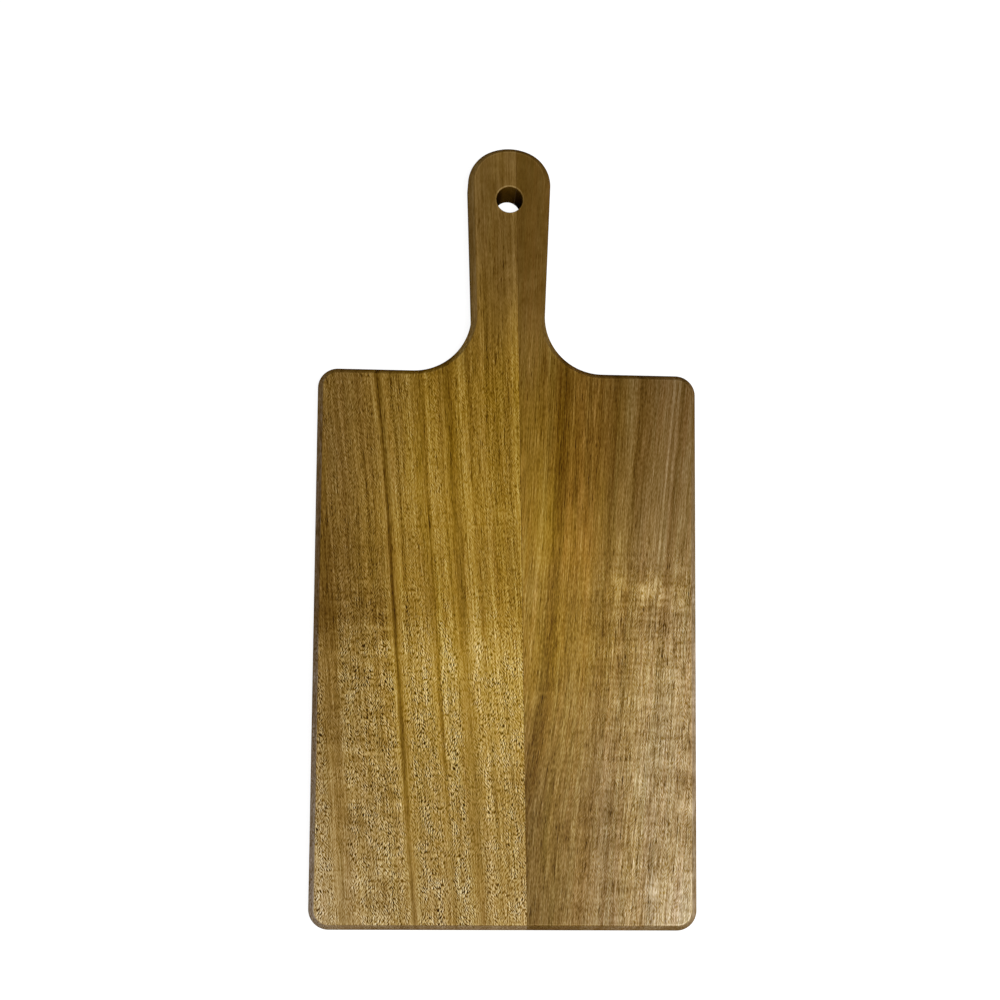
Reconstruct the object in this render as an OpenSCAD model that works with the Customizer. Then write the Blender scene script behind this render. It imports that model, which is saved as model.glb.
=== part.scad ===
// Paddle charcuterie board: two staves of wood glued edge to edge, then shaped and bevelled as one.
// It lies flat: X across the blade, Y toward the handle, Z up, origin under the middle of its length.

/* [Blade] */
// Length of the board from its bottom end to the crown of the handle
board_len = 393; // [360:1:430]
// Length of the blade from its bottom end to the shoulders
blade_len = 277; // [240:1:290]
// Width of the blade
blade_w = 190; // [160:1:230]
// Thickness of the board
board_thick = 16; // [10:0.5:22]
// Radius of the four corners of the blade
corner_r = 10; // [6:0.5:20]
// Width and depth of the bevel along every edge, above and below
bevel = 3; // [1:0.25:4.5]

/* [Handle] */
// Width between the handle's sides, carried on to the level of the crown
handle_end_w = 43.4; // [40:0.2:46]
// Width between the handle's sides, carried on to the level of the shoulders
handle_root_w = 35.2; // [32:0.2:38]
// Radius of the hollow from each shoulder into the handle
neck_r = 29; // [15:0.5:40]
// Radius of the two corners of the handle's end
end_corner_r = 18.3; // [12:0.1:19]
// Radius of the crown between those corners
crown_r = 25; // [23:0.5:60]

/* [Hanging hole] */
// Diameter of the hole
hole_d = 13.2; // [8:0.1:20]
// Distance of the hole's axis from the crown
hole_from_end = 28; // [20:0.5:40]
// Width and depth of the eased rim at both ends of the hole
hole_ease = 0.4; // [0.2:0.1:2]

/* [Glue joint] */
// Distance of the joint to the right of the board's axis, half way along the board
joint_offset = 7.1; // [0:0.1:14]
// Angle of the joint to the board's axis
joint_skew = 1.2; // [0:0.1:2.5]
// Thickness of the glue film
glue_thick = 0.2; // [0.1:0.05:0.4]

/* [Hidden] */
$fn = 96;

// Shapes run past the faces that cut them, or that they cut, by this much
overrun = bevel / 3;
// Rounds that meet a leaning side stand past it by this much, so that the faces cross and don't just touch
bite = bevel / 100;

// Stations along the board
y_bottom = -board_len / 2;
y_crown = board_len / 2;
y_shoulder = y_bottom + blade_len;
handle_len = board_len - blade_len;

// Lean of each handle side, with the directions along the right side and square out of it
flare = atan((handle_end_w - handle_root_w) / 2 / handle_len);
side_along = [sin(flare), cos(flare)];
side_out = [cos(flare), -sin(flare)];

// Centre of the right hollow, which meets the shoulder and the handle's side
neck_centre = [handle_root_w / 2 + neck_r * (tan(flare) + 1 / cos(flare)), y_shoulder + neck_r];

// The right end corner runs inside the crown's circle and meets both it and the handle's side:
// its centre lies on a line inside that side, at the difference of the radii from the crown's centre
crown_centre = [0, y_crown - crown_r];
inset_root = [handle_root_w / 2, y_shoulder] - end_corner_r * side_out;
to_crown = crown_centre - inset_root;
crown_gap = crown_r - end_corner_r;
inset_len = to_crown * side_along + sqrt(crown_gap ^ 2 - (to_crown * side_out) ^ 2);
end_corner = inset_root + inset_len * side_along;
crown_angle = atan2(end_corner.y - crown_centre.y, end_corner.x);

// The straight stretch of the right side, from the hollow to the end corner
side_start = neck_centre - neck_r * side_out;
side_end = end_corner + end_corner_r * side_out;

// Straight bar along Y, centred, whose slopes become bevels once the board's faces are cut
module bevelled_bar(width, length) {
    wall = width / 2;
    tip = wall - bevel - overrun;
    rotate([90, 0, 0])
        linear_extrude(length, center = true)
            polygon([
                [-tip, -overrun],
                [tip, -overrun],
                [wall, bevel],
                [wall, board_thick - bevel],
                [tip, board_thick + overrun],
                [-tip, board_thick + overrun],
                [-wall, board_thick - bevel],
                [-wall, bevel],
            ]);
}

// Part of a round disc between two angles, with the same slopes along its rim
module bevelled_disc(radius, from, to) {
    tip = radius - bevel - overrun;
    rotate_extrude(angle = to - from, start = from)
        polygon([
            [0, -overrun],
            [tip, -overrun],
            [radius, bevel],
            [radius, board_thick - bevel],
            [tip, board_thick + overrun],
            [0, board_thick + overrun],
        ]);
}

// Round cut through the board that leaves a sloping rim on both faces
module round_cut(radius, rim) {
    mouth = radius + rim + overrun;
    rotate_extrude()
        polygon([
            [0, -overrun],
            [mouth, -overrun],
            [radius, rim],
            [radius, board_thick - rim],
            [mouth, board_thick + overrun],
            [0, board_thick + overrun],
        ]);
}

// The blade: two crossing bars with round corners, centred
module blade() {
    bevelled_bar(blade_w, blade_len - 2 * corner_r);
    rotate(90)
        bevelled_bar(blade_len, blade_w - 2 * corner_r);
    for (side = [0, 1], end = [0, 1])
        mirror([side, 0])
            mirror([0, end])
                translate([blade_w / 2 - corner_r, blade_len / 2 - corner_r])
                    bevelled_disc(corner_r, 0, 90);
}

// The handle: a bar leaning along each side, the two corners of its end, and the crown between them
module handle() {
    for (side = [0, 1])
        mirror([side, 0]) {
            translate(side_end)
                rotate(-flare)
                    translate([-handle_root_w / 2, -handle_len / 2])
                        bevelled_bar(handle_root_w, handle_len);
            translate(end_corner)
                bevelled_disc(end_corner_r + bite, 0, 360);
        }
    translate(crown_centre)
        bevelled_disc(crown_r, crown_angle, 180 - crown_angle);
}

// The wood between the shoulders and the handle, before the hollows are cut
module throat() {
    right = [[neck_centre.x, y_shoulder - corner_r], neck_centre, side_start];
    left = [for (i = [len(right) - 1 : -1 : 0]) [-right[i].x, right[i].y]];
    translate([0, 0, -overrun])
        linear_extrude(board_thick + 2 * overrun)
            polygon(concat(right, left));
}

// The outline of the whole board with its slopes, hollows and hole, before its faces are cut
module shaped_board() {
    difference() {
        union() {
            translate([0, y_bottom + blade_len / 2])
                blade();
            throat();
            handle();
        }
        for (side = [-1, 1])
            translate([side * neck_centre.x, neck_centre.y])
                round_cut(neck_r + bite, bevel);
        translate([0, y_crown - hole_from_end])
            round_cut(hole_d / 2, hole_ease);
    }
}

// A strip of the board along the skewed joint, between its two faces
// and between two distances to the right of the joint's middle
module strip(from, to) {
    intersection() {
        shaped_board();
        translate([joint_offset, 0])
            rotate(joint_skew)
                translate([from, -board_len])
                    cube([to - from, 2 * board_len, board_thick]);
    }
}

// Left stave, the wider one, with most of the hole
module left_stave() {
    color("peru")
        strip(-board_len, -glue_thick / 2);
}

// Right stave
module right_stave() {
    color("sienna")
        strip(glue_thick / 2, board_len);
}

// Film of glue between the staves, in two lengths because the hole cuts through it
module glue_line() {
    color("saddlebrown")
        strip(-glue_thick / 2, glue_thick / 2);
}

left_stave();
right_stave();
glue_line();
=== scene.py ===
import math

import bpy
import numpy as np
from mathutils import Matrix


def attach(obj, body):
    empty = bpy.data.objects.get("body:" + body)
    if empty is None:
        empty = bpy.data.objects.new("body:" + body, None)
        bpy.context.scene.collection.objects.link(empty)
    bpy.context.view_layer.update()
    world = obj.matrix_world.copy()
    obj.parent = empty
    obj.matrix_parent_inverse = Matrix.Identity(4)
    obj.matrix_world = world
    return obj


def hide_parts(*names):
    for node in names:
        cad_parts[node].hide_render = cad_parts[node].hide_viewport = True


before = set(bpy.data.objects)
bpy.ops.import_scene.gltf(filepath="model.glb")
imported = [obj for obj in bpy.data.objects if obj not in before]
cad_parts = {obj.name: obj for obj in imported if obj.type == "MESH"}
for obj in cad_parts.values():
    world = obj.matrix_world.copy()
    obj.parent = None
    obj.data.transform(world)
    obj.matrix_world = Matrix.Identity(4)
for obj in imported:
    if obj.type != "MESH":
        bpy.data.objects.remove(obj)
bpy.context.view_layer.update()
scene = bpy.context.scene
scene.view_settings.view_transform = "Standard"
mm = 0.001

# The board's measures in millimetres and degrees, as the solids have them,
# and how far its sharp edges are eased
board = {
    "length": 393,
    "bladeLength": 277,
    "bladeWidth": 190,
    "thick": 16,
    "cornerRadius": 10,
    "bevel": 3,
    "handleEnd": 43.4,
    "handleRoot": 35.2,
    "neckRadius": 29,
    "endRadius": 18.3,
    "crownRadius": 25,
    "holeRadius": 6.6,
    "holeFromEnd": 28,
    "holeRim": 0.4,
    "jointOffset": 7.1,
    "jointSkew": 1.2,
    "glueThick": 0.2,
    "ease": 0.45,
    "rimEase": 0.2,
    "margin": 0.6,
    "sharpAngle": 40,
}
bottomY = -board["length"] / 2
crownY = board["length"] / 2
shoulderY = bottomY + board["bladeLength"]
flare = math.atan((board["handleEnd"] - board["handleRoot"]) / 2 / (crownY - shoulderY))
sideAlong = np.array([math.sin(flare), math.cos(flare)])
sideOut = np.array([math.cos(flare), -math.sin(flare)])
neckCentre = np.array([
    board["handleRoot"] / 2 + board["neckRadius"] * (math.tan(flare) + 1 / math.cos(flare)),
    shoulderY + board["neckRadius"],
])
crownCentre = np.array([0, crownY - board["crownRadius"]])
holeCentre = np.array([0, crownY - board["holeFromEnd"]])

# The end corner's centre lies inside the handle's side,
# at the difference of the radii from the crown's centre
insetRoot = np.array([board["handleRoot"] / 2, shoulderY]) - board["endRadius"] * sideOut
toCrown = crownCentre - insetRoot
radiusGap = board["crownRadius"] - board["endRadius"]
insetLength = toCrown @ sideAlong + math.sqrt(radiusGap ** 2 - (toCrown @ sideOut) ** 2)
endCentre = insetRoot + insetLength * sideAlong
crownAngle = math.atan2(endCentre[1] - crownCentre[1], endCentre[0])
sideStart = neckCentre - board["neckRadius"] * sideOut
sideEnd = endCentre + board["endRadius"] * sideOut

skew = math.radians(board["jointSkew"])
jointAlong = np.array([-math.sin(skew), math.cos(skew)])
jointAcross = np.array([math.cos(skew), math.sin(skew)])


# Section through an edge, from the top face round to the underside: inward distance and height.
# Straight runs join the corner points, and a parabola rounds each corner over the ease on both sides.
def edgeSection(bevel, ease, margin, steps=6, runs=4):
    thick = board["thick"]
    corners = np.array([
        [bevel + ease + margin, thick],
        [bevel, thick],
        [0, thick - bevel],
        [0, bevel],
        [bevel, 0],
        [bevel + ease + margin, 0],
    ])
    points = [corners[:1]]
    for before, corner, after in zip(corners[:-2], corners[1:-1], corners[2:]):
        into = corner + (before - corner) / np.linalg.norm(before - corner) * ease
        out = corner + (after - corner) / np.linalg.norm(after - corner) * ease
        t = np.linspace(0, 1, steps)[:, None]
        run = np.linspace(0, 1, runs)[1:-1, None]
        points.append(points[-1][-1] + run * (into - points[-1][-1]))
        points.append((1 - t) ** 2 * into + 2 * t * (1 - t) * corner + t ** 2 * out)
    run = np.linspace(0, 1, runs)[1:, None]
    points.append(points[-1][-1] + run * (corners[-1] - points[-1][-1]))
    return np.concatenate(points)


outerSection = edgeSection(board["bevel"], board["ease"], board["margin"])
rimSection = edgeSection(board["holeRim"], board["rimEase"], board["margin"])
ringCount = len(outerSection)
print("sections:", ringCount, "points across an edge")


# Where a line along the joint, at each ring's own distance from its middle, meets a level or a circle
def jointAtLevel(across, level):
    along = (level - across * jointAcross[1]) / jointAlong[1]
    return jointPoint(across, along)


def jointAtCircle(across, centre, radius, sign):
    start = jointPoint(across, np.zeros_like(across)) - centre
    back = start @ jointAlong
    along = -back + sign * np.sqrt(back ** 2 - (start ** 2).sum(-1) + radius ** 2)
    return jointPoint(across, along)


def jointPoint(across, along):
    middle = np.array([board["jointOffset"], 0])
    return middle + across[:, None] * jointAcross + along[:, None] * jointAlong


# A straight or round stretch of the outline for every ring at once: one row per point, one column per ring.
# The last point is left out, because the next stretch starts there.
def straight(start, end, count):
    u = np.linspace(0, 1, count, endpoint=False)[:, None, None]
    return start + u * (end - start)


def roundStretch(centre, radius, start, end, count):
    u = np.linspace(0, 1, count, endpoint=False)[:, None]
    angle = start + u * (end - start)
    ring = np.stack([np.cos(angle), np.sin(angle)], -1)
    return np.asarray(centre) + radius[:, None] * ring


def angleFrom(centre, points):
    return np.arctan2(points[:, 1] - centre[1], points[:, 0] - centre[0])


# Points along each stretch of a stave's outline
stretchSteps = {
    "bottom": 30,
    "corner": 28,
    "side": 60,
    "shoulder": 16,
    "neck": 48,
    "grip": 24,
    "endCorner": 40,
    "crown": 24,
    "highJoint": 12,
    "leftBore": 64,
    "rightBore": 32,
    "lowJoint": 48,
}


# One stave: the edge section carried round its outline, from the joint's bottom end round the outer edge
# to the crown, then back down the joint and round its share of the hole.
# side is 1 on the right and -1 on the left.
def staveSurface(side):
    steps = stretchSteps
    inward = outerSection[:, 0]
    face = np.zeros(ringCount)
    face[[0, -1]] = board["margin"] / 2  # the flat faces end a little before the joint
    across = side * (board["glueThick"] / 2 + face)
    mirror = np.array([side, 1])
    one = np.ones(ringCount)
    corner = board["cornerRadius"]
    cornerX = board["bladeWidth"] / 2 - corner
    lowCorner = np.array([cornerX, bottomY + corner])
    highCorner = np.array([cornerX, shoulderY - corner])
    sideX = cornerX + corner - inward
    shoulder = shoulderY - inward
    neckRadius = board["neckRadius"] + inward
    endRadius = board["endRadius"] - inward
    crownRadius = board["crownRadius"] - inward
    boreRadius = board["holeRadius"] + rimSection[:, 0]

    def level(x, y):
        return np.stack([x * one, y * one], -1) * mirror

    jointBottom = jointAtLevel(across, bottomY + inward)
    jointCrown = jointAtCircle(across, crownCentre, crownRadius, 1)
    holeHigh = jointAtCircle(across, holeCentre, boreRadius, 1)
    holeLow = jointAtCircle(across, holeCentre, boreRadius, -1)
    outside = -inward[:, None] * sideOut
    highAngle = angleFrom(holeCentre, holeHigh)
    lowAngle = angleFrom(holeCentre, holeLow)
    if side < 0:
        lowAngle = lowAngle + 2 * math.pi
    half = math.pi / 2
    stretches = [
        straight(jointBottom, level(cornerX, bottomY + inward), steps["bottom"]),
        roundStretch(lowCorner, corner - inward, -half * one, 0 * one, steps["corner"]) * mirror,
        straight(level(sideX, lowCorner[1]), level(sideX, highCorner[1]), steps["side"]),
        roundStretch(highCorner, corner - inward, 0 * one, half * one, steps["corner"]) * mirror,
        straight(level(cornerX, shoulder), level(neckCentre[0], shoulder), steps["shoulder"]),
        roundStretch(neckCentre, neckRadius, -half * one, -(math.pi + flare) * one, steps["neck"]) * mirror,
        straight((sideStart + outside) * mirror, (sideEnd + outside) * mirror, steps["grip"]),
        roundStretch(endCentre, endRadius, -flare * one, crownAngle * one, steps["endCorner"]) * mirror,
    ]
    endAngle = angleFrom(crownCentre, jointCrown)
    startAngle = crownAngle if side > 0 else math.pi - crownAngle
    stretches.append(roundStretch(crownCentre, crownRadius, startAngle * one, endAngle, steps["crown"]))
    outerCount = sum(len(part) for part in stretches)
    stretches.append(straight(jointCrown, holeHigh, steps["highJoint"]))
    holeStart = sum(len(part) for part in stretches)
    boreSteps = steps["leftBore"] if side < 0 else steps["rightBore"]
    stretches.append(roundStretch(holeCentre, boreRadius, highAngle, lowAngle, boreSteps))
    holeEnd = sum(len(part) for part in stretches)
    stretches.append(straight(holeLow, jointBottom, steps["lowJoint"]))
    plan = np.concatenate(stretches)

    # Heights follow the edge's section outside and the rim's section round the hole,
    # and change over along the joint
    share = np.zeros(len(plan))
    share[outerCount:holeStart] = np.linspace(0, 1, holeStart - outerCount, endpoint=False)
    share[holeStart:holeEnd] = 1
    share[holeEnd:] = np.linspace(1, 0, len(plan) - holeEnd, endpoint=False)
    height = outerSection[:, 1] + share[:, None] * (rimSection[:, 1] - outerSection[:, 1])
    number = np.arange(len(plan))
    hole = (number >= holeStart) & (number <= holeEnd)
    place = {"hole": hole, "joint": (number > outerCount) & ~hole}
    return np.concatenate([plan, height[..., None]], -1), place


# Numbers of the points in a closed loop of rings, and the faces between each point and the next
def ringFaces(rings):
    count, across = rings.shape[:2]
    index = np.arange(count * across).reshape(count, across)
    ahead = np.roll(index, -1, axis=0)
    quads = np.stack([index[:, :-1], index[:, 1:], ahead[:, 1:], ahead[:, :-1]], -1).reshape(-1, 4)
    return index, quads


# Puts a closed loop of rings into a mesh, with one flat face over the first ring and one over the last
def ringMesh(name, rings, flip):
    index, quads = ringFaces(rings)
    top = index[:, 0]
    under = index[::-1, -1]
    if flip:
        quads = quads[:, ::-1]
        top = top[::-1]
        under = under[::-1]
    mesh = bpy.data.meshes.new(name)
    faces = quads.tolist() + [top.tolist(), under.tolist()]
    mesh.from_pydata((rings.reshape(-1, 3) * mm).tolist(), [], faces)
    mesh.shade_smooth()
    mesh.set_sharp_from_angle(angle=math.radians(board["sharpAngle"]))
    mesh.validate()
    piece = bpy.data.objects.new(name, mesh)
    scene.collection.objects.link(piece)
    return piece


# Shares along the edge's section and the rim's: arris for wear and a painted highlight,
# sawn edge, the way out to the wall, and the bore
arrisWearAndHighlight = {"arris": 1.2, "rimMiddle": 1.1, "rim": 2}
bend = np.abs(np.diff(np.arctan2(np.diff(outerSection[:, 1]), np.diff(outerSection[:, 0]))))
sectionArris = np.zeros(ringCount)
sectionArris[1:-1] = np.minimum(bend / bend.max() * arrisWearAndHighlight["arris"], 1)
sectionEdge = np.clip((board["bevel"] + board["ease"] * 0.5 - outerSection[:, 0]) / board["ease"], 0, 1)
sectionOutward = np.clip(1 - outerSection[:, 0] / board["bevel"], 0, 1)
rimShare = rimSection[:, 0] / board["holeRim"]
rimEdge = np.clip(1 - rimShare * 2, 0, 1)
rimArris = np.clip(1 - np.abs(rimShare - arrisWearAndHighlight["rimMiddle"]) / arrisWearAndHighlight["rimMiddle"], 0, 1) * arrisWearAndHighlight["rim"]


# How much of each point is arris (wear and a painted highlight), sawn edge, end grain or the bore's wall
# (painted shade), for the wood to follow.
# Outward grows from the face to the wall.
# End grain is the share of the outline's direction that lies across the board.
def edgeMarks(piece, rings, place):
    step = np.roll(rings, -1, axis=0) - np.roll(rings, 1, axis=0)
    length = np.linalg.norm(step[..., :2], axis=-1) + 1e-9
    endShare = (step[..., 0] / length) ** 2
    outer = ~(place["hole"] | place["joint"])[:, None]
    hole = place["hole"][:, None]
    marks = {
        "arris": np.where(outer, sectionArris, np.where(hole, rimArris, 0)),
        "edge": np.where(outer, sectionEdge, 0),
        "outward": np.where(outer, sectionOutward, 0),
        "end": np.where(outer, sectionEdge * endShare, 0),
        "bore": np.where(hole, rimEdge, 0),
    }
    for label, values in marks.items():
        layer = piece.data.attributes.new(label, "FLOAT", "POINT")
        layer.data.foreach_set("value", values.ravel().astype(np.float32))


# Shader sums written as Python: a Wire holds a socket, and arithmetic on Wires adds Math nodes
class Wire:
    def __init__(self, tree, socket=None):
        self.tree = tree
        self.socket = socket

    def add(self, kind, settings=None, sockets=None, out=0):
        node = self.tree.nodes.new(kind)
        for label, value in (settings or {}).items():
            if label == "stops":
                fillRamp(node.color_ramp, value)
            else:
                setattr(node, label, value)
        for label, value in (sockets or {}).items():
            if isinstance(value, Wire):
                self.tree.links.new(value.socket, node.inputs[label])
            else:
                node.inputs[label].default_value = value
        return Wire(self.tree, node.outputs[out]) if node.outputs else None

    def math(self, operation, *values):
        return self.add("ShaderNodeMath", {"operation": operation}, dict(enumerate(values)))

    def __add__(self, other):
        return self.math("ADD", self, other)

    def __sub__(self, other):
        return self.math("SUBTRACT", self, other)

    def __rsub__(self, other):
        return self.math("SUBTRACT", other, self)

    def __mul__(self, other):
        return self.math("MULTIPLY", self, other)

    def __truediv__(self, other):
        return self.math("DIVIDE", self, other)

    __radd__ = __add__

    def atLeast(self, other):
        return self.math("MAXIMUM", self, other)

    def atMost(self, other):
        return self.math("MINIMUM", self, other)

    # Rises smoothly from 0 at low to 1 at high, or falls where low is the larger
    def rise(self, low, high):
        settings = {"interpolation_type": "SMOOTHSTEP"}
        if low > high:
            return 1 - self.rise(high, low)
        return self.add("ShaderNodeMapRange", settings, {"Value": self, "From Min": low, "From Max": high})

    # 1 at the middle, falling smoothly to 0 at the half width on either side
    def bump(self, middle, half):
        away = self.math("ABSOLUTE", self - middle)
        return away.rise(half, 0)

    # Straight between stops, each a place from low to high with its value or colour
    def ramp(self, stops, low, high):
        share = (self - low) * (1 / (high - low))
        settings = {"stops": [((at - low) / (high - low), value) for at, value in stops]}
        return self.add("ShaderNodeValToRGB", settings, {"Fac": share})


def fillRamp(ramp, stops):
    ramp.elements.remove(ramp.elements[1])
    for number, (at, value) in enumerate(stops):
        stop = ramp.elements[0] if number == 0 else ramp.elements.new(at)
        stop.position = at
        stop.color = (value, value, value, 1) if np.isscalar(value) else (*value, 1)


# Screen colour from 0 to 255 to the renderer's linear colour
def linear(red, green, blue):
    share = np.array([red, green, blue]) / 255
    return tuple(np.where(share <= 0.04045, share / 12.92, ((share + 0.055) / 1.055) ** 2.4))


def newMaterial(name):
    material = bpy.data.materials.new(name)
    material.use_nodes = True
    material.node_tree.nodes.clear()
    return material, Wire(material.node_tree)


# Lightness, as a level from 0 to 255, to the wood's colour:
# golden, and greyer both where the wood is greyer and where a painted sheen lies on it
goldenTints = [
    (0, linear(6, 3, 0)),
    (30, linear(50, 28, 0)),
    (60, linear(90, 59, 0)),
    (80, linear(108, 78, 6)),
    (100, linear(132, 98, 16)),
    (120, linear(154, 119, 36)),
    (140, linear(173, 139, 57)),
    (160, linear(189, 159, 80)),
    (180, linear(208, 179, 103)),
    (215, linear(236, 215, 152)),
]
greyTints = [
    (0, linear(6, 4, 1)),
    (30, linear(48, 30, 5)),
    (60, linear(87, 60, 15)),
    (80, linear(107, 79, 33)),
    (100, linear(127, 99, 54)),
    (120, linear(146, 119, 75)),
    (140, linear(165, 140, 97)),
    (160, linear(184, 160, 119)),
    (180, linear(203, 180, 141)),
    (215, linear(232, 214, 179)),
]

leftGrain = {
    # Lean of the growth lines in millimetres across per millimetre along, on the blade and in the handle
    "lean": -0.079,
    "handleLean": -0.055,
    "bend": lambda x, y: (y - 25).atLeast(0) * (x + 40) * -0.0009 + x.rise(-56, -18) * 0.95,
    "streaky": lambda x, y: 1 - x.rise(-50, -70) * y.rise(0, 30) * 0.22,
    "red": (1.3, 0.5),
    "tilt": 0.45,
    "tone": [
        (-196, 121), (-160, 115), (-130, 112), (-100, 118), (-70, 128), (-56, 124), (-42, 114), (-10, 112),
        (10, 117), (40, 111), (70, 104), (95, 97), (125, 90), (196, 87),
    ],
    # Growth lines: place across the grain, half width, and level above or below the tone
    "lines": [
        (-92, 5, -16), (-88.4, 1.2, -8), (-86, 1.0, -10), (-79.2, 1.6, -9), (-75, 1.1, -13),
        (-68.2, 1.2, -18), (-65, 1.3, -10), (-60.6, 1.6, 16), (-58.4, 1.6, -46), (-54.6, 2.2, 12),
        (-52.2, 1.1, -20), (-45, 3.2, 10), (-37.8, 1.6, -22), (-35.1, 1.8, 18), (-31.2, 1.4, 14),
        (-25.4, 1.6, -14), (-23.6, 1.4, -24), (-21.8, 0.8, -9), (-20.2, 0.8, 12), (-18.2, 1.1, 24),
        (-16.6, 1.3, 16), (-14.2, 1.0, -10), (-8, 2.4, 11), (-5.2, 0.9, -10), (0, 2, -5),
        (4.3, 1.5, -12), (6.6, 1.5, 8),
    ],
    "lineStrength": [
        (-196, 0.5), (-150, 0.55), (-110, 0.75), (-60, 1.0), (0, 1.1), (80, 1.1), (110, 0.7), (196, 0.6),
    ],
    "coarse": 56.0,
    "coarseReach": [(-196, 1.0), (80, 0.9), (110, 0.6), (196, 0.5)],
    "streak": 66.0,
    "streakReach": [(-196, 1.0), (-45, 0.95), (80, 0.75), (110, 0.4), (196, 0.3)],
    "dash": 62.0,
    "dashReach": [(-196, 0.6), (-45, 0.7), (0, 1.0), (80, 0.9), (110, 0.45), (196, 0.3)],
    "pore": 48.0,
    "poreReach": [(-196, 0.0), (-70, 0.0), (-30, 0.7), (10, 1.0), (90, 1.0), (130, 0.6), (196, 0.3)],
    "fleck": 98.0,
    "fleckBands": [
        (-104, 0.9), (-98, 0.8), (-95, 0.3), (-89, 0.3), (-86, 0.8), (-62, 0.9), (-60.2, 0.5), (-58.6, 0.1),
        (-57, 0.25), (-55, 0.7), (-52, 1.0), (-44, 1.0), (-40, 0.5), (-38, 0.4), (-36, 1.0), (-30, 1.0),
        (-27, 0.4), (-24, 0.25), (-22, 0.5), (-18, 0.9), (-14, 0.6), (-9, 0.85), (6, 0.8), (24, 0.75),
    ],
    "fleckReach": [(-196, 1.0), (-70, 1.0), (-45, 0.6), (-20, 0.35), (75, 0.3), (100, 0.1), (196, 0.0)],
    "shimmer": 56.0,
    "shimmerBands": [(-97, 0.3), (-86, 1.0), (-62, 1.0), (-58, 0.1), (-20, 0.15), (0, 0.4), (24, 0.2)],
    "shimmerReach": [(-196, 0.8), (-60, 1.0), (-25, 0.5), (0, 0.15), (196, 0.0)],
    # Paler and darker patches
    "shades": [
        {"level": 13, "from": lambda x, y, fromJoint, patch: fromJoint.bump(-1.5, 3) * y.rise(60, 95)},
        {"level": 11, "from": lambda x, y, fromJoint, patch: (
            fromJoint.rise(-5.5, -1) * y.rise(100, 65) * y.rise(-190, -90)
        )},
        {"level": 15, "from": lambda x, y, fromJoint, patch: fromJoint.bump(-4, 5.5) * y.bump(96, 34)},
        {"level": -15, "from": lambda x, y, fromJoint, patch: fromJoint.bump(-3, 6) * y.bump(149, 17)},
        {"level": -5, "from": lambda x, y, fromJoint, patch: x.rise(-11, -18) * y.bump(148, 20)},
        {"level": 4, "from": lambda x, y, fromJoint, patch: x.rise(-64, -20) * y.rise(-36, -64)},
        {"level": 9, "from": lambda x, y, fromJoint, patch: x.bump(-7, 9) * y.rise(174, 184)},
        {"level": 15, "from": lambda x, y, fromJoint, patch: x.rise(-44, -80) * y.rise(-90, -140)},
        {"level": -25, "from": lambda x, y, fromJoint, patch: x.rise(-46, -88) * y.bump(-28, 140)},
        {"level": -4, "from": lambda x, y, fromJoint, patch: x.rise(-60, -88) * y.bump(60, 30)},
        {"level": 9, "from": lambda x, y, fromJoint, patch: x.bump(-8, 30) * y.bump(-50, 34)},
        {"level": 8, "from": lambda x, y, fromJoint, patch: x.bump(-4, 16) * y.bump(-110, 24)},
        {"level": -5, "from": lambda x, y, fromJoint, patch: x.bump(-7.5, 4) * y.rise(80, 105) * patch},
        {"level": -8, "from": lambda x, y, fromJoint, patch: x.rise(-30, -50) * y.bump(-44, 20)},
        {"level": 12, "from": lambda x, y, fromJoint, patch: x.bump(-54, 14) * y.bump(-130, 16)},
        {"level": -13, "from": lambda x, y, fromJoint, patch: x.bump(-70, 18) * y.bump(-150, 15)},
    ],
    # Greyer towards the bottom end, the left side and the handle: partly the wood, partly painted sheen
    "greyAndSheen": lambda x, y: (
        y.rise(-60, -190) * 0.34 + y.rise(-150, -190) * 0.1
        + x.rise(-34, -94) * (0.41 + y.rise(0, 30) * 0.1) + y.rise(60, 165) * 0.64
    ),
    "seed": 3.7,
}

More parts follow.
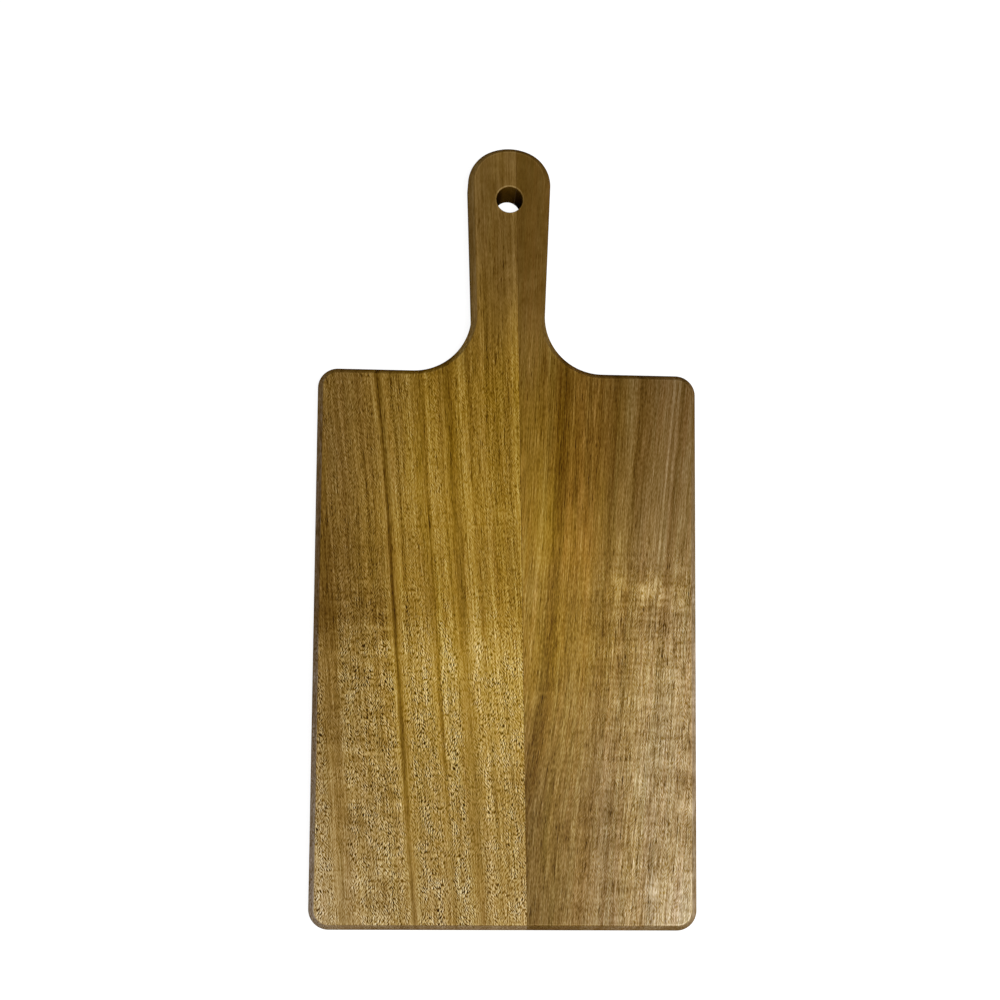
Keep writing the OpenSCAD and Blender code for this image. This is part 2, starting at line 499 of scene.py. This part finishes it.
rightGrain = {
    "lean": 0.0587,
    "handleLean": 0.04,
    "upperLean": 0.058,
    "fan": -0.00065,
    "fanMiddle": 50.0,
    "bend": lambda x, y: (
        (y + 5).atLeast(0) * x.rise(54, 36) * 0.035 + (-75 - y).atLeast(0) * x.rise(20, 60) * 0.035
        + (-80 - y).atLeast(0).atMost(60) * x.rise(46, 14) * 0.08 + 1.3
    ),
    "streaky": lambda x, y: 1 + x.rise(40, 62) * (y.rise(-15, -60) * 0.6 - y.rise(0, 30) * 0.24),
    "porous": lambda x, y: 1 - x.rise(40, 62) * y.rise(-15, 20) * 0.7,
    "red": (2.4, 1.4),
    "blush": lambda x, y: x.bump(36, 18) * y.bump(15, 95) * 1.3,
    "tilt": -0.5,
    "tone": [
        (-196, 112), (-150, 107), (-110, 114), (-70, 113), (-45, 108), (-10, 106), (10, 95), (30, 88),
        (50, 84), (80, 83), (105, 82), (140, 79), (196, 77),
    ],
    "lines": [
        (18.4, 2, 9), (24.5, 1, -12), (27, 4, -18), (28.2, 0.9, -8), (31.7, 1.1, 8), (33.4, 1, -5),
        (38.2, 1, 8), (42.5, 1.8, 7), (45, 1, -6), (46.8, 1, 10), (52.4, 3.2, -10), (52.2, 0.9, -7),
        (58.8, 2.8, 10), (62.3, 1.7, -16), (65.6, 1.6, -7), (71.8, 3.2, 9), (75.1, 0.9, 24), (77.9, 1, 12),
        (80.2, 1.3, -13), (81.8, 1.2, -6), (85.2, 2.2, 7), (87.6, 0.9, -5), (89.5, 2, 5),
    ],
    "lineStrength": [(-196, 1.0), (-40, 1.0), (0, 1.3), (80, 1.3), (110, 0.7), (196, 0.5)],
    "coarse": 40.0,
    "coarseReach": [(-196, 0.9), (-40, 0.9), (0, 1.0), (80, 1.0), (110, 0.5), (196, 0.35)],
    "streak": 72.0,
    "streakReach": [(-196, 1.0), (-40, 1.0), (0, 0.95), (80, 0.9), (110, 0.4), (196, 0.25)],
    "dash": 66.0,
    "dashReach": [(-196, 1.0), (-40, 1.0), (0, 0.75), (80, 0.7), (110, 0.4), (196, 0.25)],
    "pore": 44.0,
    "poreReach": [(-196, 0.9), (-60, 0.8), (0, 0.75), (80, 0.75), (110, 0.3), (196, 0.2)],
    "fleck": 30.0,
    "fleckBands": [(2, 0.1), (40, 0.2), (55, 0.6), (70, 0.8), (97, 1.0)],
    "fleckReach": [(-196, 1.0), (-30, 1.0), (0, 0.2), (196, 0.0)],
    "shimmer": 60.0,
    "shimmerBands": [(2, 0.0), (34, 0.15), (50, 0.5), (66, 0.8), (78, 1.0), (97, 1.0)],
    "shimmerReach": [(-196, 0.7), (-60, 0.9), (-32, 1.0), (-15, 0.3), (5, 0.0), (196, 0.0)],
    "shades": [
        {"level": -18, "from": lambda x, y, fromJoint, patch: fromJoint.rise(30, 3) * y.rise(-30, -110)},
        {"level": 15, "from": lambda x, y, fromJoint, patch: x.rise(44, 74) * y.rise(-35, -80)},
        # Painted sheen: the face grows paler towards the bottom-right corner
        {"level": 30, "from": lambda x, y, fromJoint, patch: x.rise(62, 95) * y.rise(-110, -196)},
        {"level": 30, "from": lambda x, y, fromJoint, patch: y.bump(-28, 13) * x.bump(56, 11) * patch},
        {"level": 54, "from": lambda x, y, fromJoint, patch: y.bump(-29, 13) * x.bump(71, 11) * patch},
        {"level": 7, "from": lambda x, y, fromJoint, patch: x.rise(44, 62) * y.bump(-130, 26)},
        {"level": 28, "from": lambda x, y, fromJoint, patch: y.bump(-33, 12) * x.bump(87, 9) * patch},
        {"level": 10, "from": lambda x, y, fromJoint, patch: y.bump(-26, 12) * x.bump(40, 12) * patch},
        {"level": 8, "from": lambda x, y, fromJoint, patch: x.bump(20, 15) * y.bump(10, 70)},
        {"level": 12, "from": lambda x, y, fromJoint, patch: fromJoint.rise(15, 5) * y.bump(45, 62)},
        {"level": 6, "from": lambda x, y, fromJoint, patch: fromJoint.rise(10, 3) * y.bump(-55, 70)},
        {"level": 7, "from": lambda x, y, fromJoint, patch: x.rise(72, 86) * y.bump(-60, 95)},
        {"level": 5, "from": lambda x, y, fromJoint, patch: x.rise(62, 92) * y.bump(32, 36)},
        {"level": -4, "from": lambda x, y, fromJoint, patch: x.rise(40, 60) * y.rise(58, 80)},
        {"level": 8, "from": lambda x, y, fromJoint, patch: y.bump(96, 22)},
        {"level": 6, "from": lambda x, y, fromJoint, patch: x.rise(28, 12) * y.bump(-20, 80)},
        {"level": -3, "from": lambda x, y, fromJoint, patch: x.bump(64, 14) * y.rise(-80, -110)},
        {"level": -3, "from": lambda x, y, fromJoint, patch: x.bump(50, 16) * y.rise(20, 45)},
        {"level": 9, "from": lambda x, y, fromJoint, patch: x.rise(54, 66) * y.bump(-58, 26)},
        {"level": 8, "from": lambda x, y, fromJoint, patch: x.rise(28, 50) * y.rise(-140, -175)},
        {"level": 6, "from": lambda x, y, fromJoint, patch: x.bump(28, 24) * y.bump(0, 30)},
        {"level": -4, "from": lambda x, y, fromJoint, patch: fromJoint.rise(12, 2) * y.rise(125, 150)},
    ],
    # Greyer towards the right side, the bottom end and the handle: partly the wood, partly painted sheen
    "greyAndSheen": lambda x, y: (
        x.rise(26, 84) * (0.85 - y.bump(-31, 18) * 0.2) + y.bump(-32, 30) * 0.1
        + y.rise(-150, -190) * 0.12 + x.rise(14, 60) * y.rise(-40, -150) * 0.3
        + y.rise(50, 130) * 0.58 + x.rise(62, 50) * y.rise(-40, -140) * 0.42
        + x.rise(24, 14) * y.rise(-80, -130) * 0.12 + x.rise(60, 90) * y.rise(0, 40) * 0.1
        + (x.bump(71, 6) * 0.15 - x.rise(48, 62) * 0.12) * y.rise(-90, -140)
    ),
    "seed": 41.3,
}

# Sizes in millimetres of the marks in both planks: width across the grain and length along it
markSizes = {
    "coarse": (0.6, 60),
    "streak": (0.4, 13),
    "dash": (0.4, 2.1),
    "pore": (0.36, 6),
    "fleck": (0.4, 1.75),
    "wander": (22, 70),
    "waver": (5, 24),
    "patch": (2.5, 6),
    "mottle": (5, 8),
    "cluster": (4, 9),
    "turn": (5, 14),
    "ripple": (9, 2.2),
    "wave": (24, 8),
    "narrowRed": (2.4, 70),
    "broadRed": (12, 45),
    "ashen": (7, 50),
}

# Strengths that both planks share: shifts in millimetres, levels, shares, and the surface's own values
woodLook = {
    "wander": 1.1,
    "waver": 0.5,
    "handleFrom": 80,
    "mottle": 24,
    "slant": 0.32,
    "lip": 0.3,
    "lipAside": 0.5,
    "ashen": 0.45,
    "redTint": (1.04, 0.96, 0.95, 1),
    "roughness": 0.42,
    "sheen": 0.025,
    "relief": 0.25,
    "reliefDepth": 0.00012,
}


# Noise drawn out along the grain, with marks about wide across and long along, in millimetres, round 0
def grainNoise(across, along, deep, wide, long, shift, detail=2.0):
    place = across.add("ShaderNodeCombineXYZ", None, {
        "X": across * (1 / wide) + shift,
        "Y": along * (1 / long),
        "Z": deep * (1 / wide),
    })
    noise = place.add("ShaderNodeTexNoise", None, {
        "Vector": place,
        "Scale": 1,
        "Detail": detail,
        "Roughness": 0.55,
    })
    return noise - 0.5


# Sum of the growth lines, each a peak that falls off straight to its half width, held in ramps of few stops.
# A ramp keeps its end values outside its own stretch, so the ramps' changes add up to the whole.
# span is the range of levels that a ramp's values from 0 to 1 stand for.
def growthLines(across, lines, span=120, stopsEach=28):
    at, half, level = np.array(lines, float).T
    corners = np.unique(np.concatenate([at - half, at, at + half]).round(3))
    peaks = np.maximum(1 - np.abs(corners[:, None] - at) / half, 0)
    values = 0.5 + (peaks @ level) / span
    total = None
    for first in range(0, len(corners) - 1, stopsEach):
        past = first + stopsEach + 1
        stops = list(zip(corners[first:past], values[first:past]))
        change = across.ramp(stops, stops[0][0], stops[-1][0]) - stops[0][1]
        total = change if total is None else total + change
    return (total + (values[0] - 0.5)) * span


# The board's own coordinates in millimetres
def boardAxes(wire):
    place = wire.add("ShaderNodeTexCoord", out=3)
    return [wire.add("ShaderNodeSeparateXYZ", None, {"Vector": place}, out) * (1 / mm) for out in range(3)]


def woodMaterial(name, grain):
    material, wire = newMaterial(name)
    seed = grain["seed"]
    x, y, z = boardAxes(wire)
    fromJoint = x + y * math.tan(skew) - board["jointOffset"]
    arris, edge, outward, end, bore = [
        wire.add("ShaderNodeAttribute", {"attribute_name": label}, out=2)
        for label in ("arris", "edge", "outward", "end", "bore")
    ]

    def reach(label):
        return y.ramp(grain[label], bottomY, crownY)

    def bands(label, across):
        return across.ramp(grain[label], grain[label][0][0], grain[label][-1][0])

    def marks(label, across, shift, detail=0.0):
        wide, long = markSizes[label]
        return grainNoise(across, y, z, wide, long, seed + shift, detail)

    # Distance across the growth lines: they lean and fan out along the board, and wander a little
    handle = (y - woodLook["handleFrom"]).atLeast(0)
    across = x - (y * grain["lean"] + handle * (grain["handleLean"] - grain["lean"]))
    if "fan" in grain:
        across = (across + y * (grain["fan"] * grain["fanMiddle"])) / (y * grain["fan"] + 1)
    if "upperLean" in grain:
        across = across - (y + 50).atLeast(0) * grain["upperLean"] * across.rise(52, 78)
    across = across + grain["bend"](x, y) + (z - board["thick"]) * grain["tilt"]
    wander = marks("wander", x, 0, 1) * woodLook["wander"] + marks("waver", x, 9, 1) * woodLook["waver"]
    across = across + wander

    # Level of the wood: its tone along the board, paler or darker patches, and its growth lines
    level = y.ramp([(at, tone / 255) for at, tone in grain["tone"]], bottomY, crownY) * 255
    patch = marks("patch", across, 120, 1).rise(-0.2, 0.16)
    for shade in grain["shades"]:
        level = level + shade["from"](x, y, fromJoint, patch) * shade["level"]
    ground = level
    level = level + growthLines(across, grain["lines"]) * reach("lineStrength")

    # Fibres, long and short
    coarse = marks("coarse", across, 20) * reach("coarseReach")
    streak = marks("streak", across, 31) * reach("streakReach")
    dash = marks("dash", across, 38) * reach("dashReach")
    pore = marks("pore", across, 44).rise(-0.17, -0.27) * reach("poreReach")
    if "porous" in grain:
        pore = pore * grain["porous"](x, y)
    long = coarse * grain["coarse"] + streak * grain["streak"] - pore * grain["pore"]
    level = level + long * grain["streaky"](x, y) + dash * grain["dash"]
    mottle = marks("mottle", across, 132, 1) * y.rise(85, 115)
    level = level + mottle * woodLook["mottle"]

    # Short pores that slant one way or the other from place to place
    cluster = marks("cluster", across, 82, 1).rise(-0.16, 0.16)
    fleckAmount = bands("fleckBands", across) * reach("fleckReach") * (0.62 + cluster * 0.8)
    fleckAmount = fleckAmount * (1 - edge * 0.55)
    turn = marks("turn", across, 75).rise(-0.06, 0.06)

    def slanted(aside):
        left = marks("fleck", across + aside + y * woodLook["slant"], 57)
        right = marks("fleck", across + aside - y * woodLook["slant"], 68)
        return left + (right - left) * turn

    # Each pore has a paler lip beside it
    hollow = slanted(0)
    fleck = hollow.rise(-0.11, 0.09) - 0.52 - hollow.rise(-0.12, -0.2) * 0.35
    fleck = fleck - (slanted(woodLook["lipAside"]).rise(-0.11, 0.09) - 0.5) * woodLook["lip"]
    level = level + fleck * fleckAmount * grain["fleck"]

    # Cross-grain shimmer
    ripple = marks("ripple", across, 90, 1) + marks("wave", across, 103, 1)
    shine = ripple * bands("shimmerBands", across) * reach("shimmerReach")
    level = level + shine * grain["shimmer"]

    # End grain soaks up more oil and is darker at the bottom end.
    # The bevels and the bore get painted shade, less where the edges are painted lit,
    # and arrises are paler with wear and a painted highlight
    upper = y.rise(20, 75)
    bottom = y.rise(-180, -193)
    corner = x.rise(66, 90) * y.rise(-150, -188)
    # Where the edges are painted lit and take less painted shade
    lit = (
        x.rise(60, 90) * y.rise(-120, -50) * 0.12 + x.rise(-70, -92) * y.rise(-60, 10) * 0.2
        + y.rise(85, 95) * (0.1 + x.rise(0, -10) * 0.07)
    )
    # Painted shade on the bevels, most on the upper ends and the bottom-right corner; the bottom end grain is
    # darker
    dark = outward * (0.08 - lit) + end * outward * upper * 0.45
    dark = dark - outward.bump(0.3, 0.35) * x.rise(0, -10) * y.rise(85, 95) * 0.11
    dark = dark + end * bottom * (0.12 + x.rise(0, 20) * 0.07) + edge * corner * 0.2
    down = board["thick"] - z
    # Painted shade in the bore, darker deeper down and on its left side
    boreShade = bore * (0.28 + down * 0.02 + x.rise(-2, -6) * 0.4 + x.rise(2, 6) * (down * 0.03 - 0.2))
    # Arrises paler with wear, and a painted highlight strongest at the bottom-right corner
    paleArrisWearAndHighlight = arris * (10 + corner * 80 + bottom * 16 + y.rise(168, 174) * 12)
    level = level * (1 - dark - boreShade.atMost(0.93)) + paleArrisWearAndHighlight
    golden = level.ramp(goldenTints, 0, goldenTints[-1][0])
    grey = level.ramp(greyTints, 0, greyTints[-1][0])

    # Hue drifts between redder and greener, and between golden and grey, in bands along the grain
    narrow, broad = grain["red"]
    red = marks("narrowRed", across, 140, 2) * narrow + marks("broadRed", across, 151, 1) * broad
    if "blush" in grain:
        red = red + grain["blush"](x, y)
    ashen = marks("ashen", across, 163, 2) * woodLook["ashen"]
    # Bevels take a painted grey sheen, strongest along the left side and weaker on the upper ends and walls
    edgeSheenGrey = edge * (1.4 + x.rise(-80, -92) * 0.5 - upper * (0.5 + end * x.rise(20, -20) * 0.8))
    edgeSheenGrey = edgeSheenGrey * (1 - outward.rise(0.9, 1) * 0.65)
    # Darker regions take a little painted sheen as greyness too
    greyAndSheen = grain["greyAndSheen"](x, y) + ground.rise(150, 60) * 0.3 + ashen
    greyAndSheen = (greyAndSheen + (fleck * fleckAmount).atMost(0) * 0.5).atLeast(edgeSheenGrey)
    settings = {"data_type": "RGBA", "clamp_factor": False}
    colour = wire.add("ShaderNodeMix", settings, {0: greyAndSheen, 6: golden, 7: grey}, 2)
    settings = {"data_type": "RGBA", "clamp_factor": False, "blend_type": "MULTIPLY"}
    colour = wire.add("ShaderNodeMix", settings, {0: red, 6: colour, 7: woodLook["redTint"]}, 2)
    rough = woodLook["roughness"] + fleck * -0.06 + edge * 0.25
    bump = wire.add("ShaderNodeBump", None, {
        "Strength": woodLook["relief"],
        "Distance": woodLook["reliefDepth"],
        "Height": fleck * fleckAmount * 0.6 + streak * 0.35 - pore * 0.4,
    })
    skin = wire.add("ShaderNodeBsdfPrincipled", None, {
        "Base Color": colour,
        "Roughness": rough,
        "Specular IOR Level": woodLook["sheen"],
        "Normal": bump,
    })
    # Sawn edges and the bore have no sheen
    sawn = wire.add("ShaderNodeBsdfPrincipled", None, {
        "Base Color": colour,
        "Roughness": 1,
        "Specular IOR Level": 0,
        "Normal": bump,
    })
    wood = wire.add("ShaderNodeMixShader", None, {0: (edge * 0.8).atLeast(bore), 1: skin, 2: sawn})
    wire.add("ShaderNodeOutputMaterial", None, {"Surface": wood})
    return material


# Colours of the glue, with the width and length in millimetres of its specks
glueLook = {
    "dark": (66, 42, 12),
    "pale": (108, 76, 26),
    "speck": (0.6, 5),
    "seed": 2.5,
    "spread": 0.3,
    "roughness": 0.5,
    "sheen": 0.02,
}


# Film of glue: the edge sections of its two ends joined into one outline, once on each face of the joint.
# One length runs from the crown to the hole, the other from the hole to the bottom end.
def glueFilm(name):
    inward = outerSection[:, 0]
    bore = board["holeRadius"] + rimSection[:, 0]
    points = []
    for sign in (1, -1):
        outline = []
        for side in (1, -1):
            across = np.full(ringCount, side * board["glueThick"] / 2)
            if sign > 0:
                far = jointAtCircle(across, crownCentre, board["crownRadius"] - inward, 1)
            else:
                far = jointAtLevel(across, bottomY + inward)
            near = jointAtCircle(across, holeCentre, bore, sign)
            far = np.concatenate([far, outerSection[:, 1:]], -1)
            near = np.concatenate([near, rimSection[:, 1:]], -1)
            outline.append(np.concatenate([far, near[::-1]]))
        points.append(outline)
    mesh = bpy.data.meshes.new(name)
    count = 2 * ringCount
    index = np.arange(count)
    ahead = np.roll(index, -1)
    faces = []
    for number, flip in ((0, False), (1, True)):
        start = number * 2 * count
        walls = np.stack([index, index + count, ahead + count, ahead], -1) + start
        right = index + start
        left = index[::-1] + count + start
        if flip:
            walls = walls[:, ::-1]
            right = right[::-1]
            left = left[::-1]
        faces += walls.tolist() + [right.tolist(), left.tolist()]
    mesh.from_pydata((np.array(points).reshape(-1, 3) * mm).tolist(), [], faces)
    mesh.validate()
    piece = bpy.data.objects.new(name, mesh)
    scene.collection.objects.link(piece)
    return piece


def glueMaterial():
    material, wire = newMaterial("glueResin")
    speck = grainNoise(*boardAxes(wire), *glueLook["speck"], glueLook["seed"])
    spread = glueLook["spread"]
    stops = [(-spread, linear(*glueLook["dark"])), (spread, linear(*glueLook["pale"]))]
    colour = speck.ramp(stops, -spread, spread)
    skin = wire.add("ShaderNodeBsdfPrincipled", None, {
        "Base Color": colour,
        "Roughness": glueLook["roughness"] + speck * 0.2,
        "Specular IOR Level": glueLook["sheen"],
    })
    wire.add("ShaderNodeOutputMaterial", None, {"Surface": skin})
    return material


for name, side, node, slot, grain in (
    ("leftPlank", -1, "left_stave", "wood_left", leftGrain),
    ("rightPlank", 1, "right_stave", "wood_right", rightGrain),
):
    rings, place = staveSurface(side)
    plank = ringMesh(name, rings, side < 0)
    edgeMarks(plank, rings, place)
    plank.data.materials.append(woodMaterial(name + "Wood", grain))
    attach(plank, "root")
    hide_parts(node)
    print("plank:", name, len(plank.data.polygons), "faces")

film = glueFilm("glueFilm")
film.data.materials.append(glueMaterial())
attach(film, "root")
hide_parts("glue_line")
print("glue:", len(film.data.polygons), "faces")

# The studio in metres: a floor that curves up into a wall, just below the board, and the light in the room
stage = {
    "flat": 3.0,
    "sweep": 1.5,
    "wall": 3.0,
    "drop": 0.0003,
    "inner": [0.02, 1.0],
    "sides": 96,
    "bendSteps": 13,
    "grey": 0.8,
    "seen": 0.2,
    "glow": 0.93,
    "room": 0.16,
}


# The floor and its upturned rim: a flat disc, a quarter round and a wall, turned about Z
def studioFloor():
    turn = np.linspace(0, 2 * math.pi, stage["sides"] + 1)[:-1, None]
    bendAngle = np.linspace(0, math.pi / 2, stage["bendSteps"])
    curve = stage["flat"] + stage["sweep"] * np.sin(bendAngle)
    reach = np.concatenate([stage["inner"], curve, [stage["flat"] + stage["sweep"]]])
    rise = np.concatenate([[0, 0], stage["sweep"] * (1 - np.cos(bendAngle)), [stage["wall"]]]) - stage["drop"]
    rings = np.stack([reach * np.cos(turn), reach * np.sin(turn), rise + 0 * turn], -1)
    index, quads = ringFaces(rings)
    mesh = bpy.data.meshes.new("studioFloor")
    mesh.from_pydata(rings.reshape(-1, 3).tolist(), [], quads.tolist() + [index[:, 0].tolist()])
    mesh.shade_smooth()
    floor = bpy.data.objects.new("studioFloor", mesh)
    scene.collection.objects.link(floor)
    material, wire = newMaterial("floorPaper")
    plain = wire.add("ShaderNodeBsdfDiffuse", None, {"Color": (stage["grey"],) * 3 + (1,)})
    seen = wire.add("ShaderNodeBsdfDiffuse", None, {"Color": (stage["seen"],) * 3 + (1,)})
    glow = wire.add("ShaderNodeEmission", None, {"Color": (1, 1, 1, 1), "Strength": stage["glow"]})
    both = wire.add("ShaderNodeAddShader", None, {0: seen, 1: glow})
    direct, mirrored, through = [
        wire.add("ShaderNodeLightPath", out=label)
        for label in ("Is Camera Ray", "Is Glossy Ray", "Is Transmission Ray")
    ]
    shown = direct.atLeast(mirrored).atLeast(through)
    mixed = wire.add("ShaderNodeMixShader", None, {0: shown, 1: plain, 2: both})
    wire.add("ShaderNodeOutputMaterial", None, {"Surface": mixed})
    mesh.materials.append(material)
    print("floor:", len(quads), "faces")


studioFloor()

lamps = {
    "key": {"at": (0.2, -0.2, 0.8), "aim": (0.0, -0.05, 0.0), "size": (0.5, 0.4), "watts": 7.0},
}
for name, lamp in lamps.items():
    light = bpy.data.lights.new(name, "AREA")
    light.shape = "RECTANGLE"
    light.size, light.size_y = lamp["size"]
    light.energy = lamp["watts"]
    holder = bpy.data.objects.new(name, light)
    holder.location = lamp["at"]
    aim = np.array(lamp["aim"]) - np.array(lamp["at"])
    pitch = math.atan2(math.hypot(aim[0], aim[1]), -aim[2])
    holder.rotation_euler = (pitch, 0, math.atan2(aim[1], aim[0]) - math.pi / 2)
    scene.collection.objects.link(holder)
world = bpy.data.worlds.new("roomLight")
world.use_nodes = True
background = world.node_tree.nodes["Background"]
background.inputs["Color"].default_value = (1, 1, 1, 1)
background.inputs["Strength"].default_value = stage["room"]
scene.world = world
print("lamps:", len(lamps))

# The camera that the outline and the hole's parallax were fitted with
view = {
    "at": (-0.03964, -0.09419, 0.50583),
    "turn": (3.289, -2.138, 0.581),
    "shift": (0.03785, 0.16177),
    "sensor": 36,
    "lens": 36,
    "near": 0.01,
}
camera = bpy.data.cameras.new("camera")
camera.sensor_width = view["sensor"]
camera.lens = view["lens"]
camera.shift_x, camera.shift_y = view["shift"]
camera.clip_start = view["near"]
holder = bpy.data.objects.new("camera", camera)
holder.location = view["at"]
holder.rotation_euler = [math.radians(angle) for angle in view["turn"]]
scene.collection.objects.link(holder)
scene.camera = holder
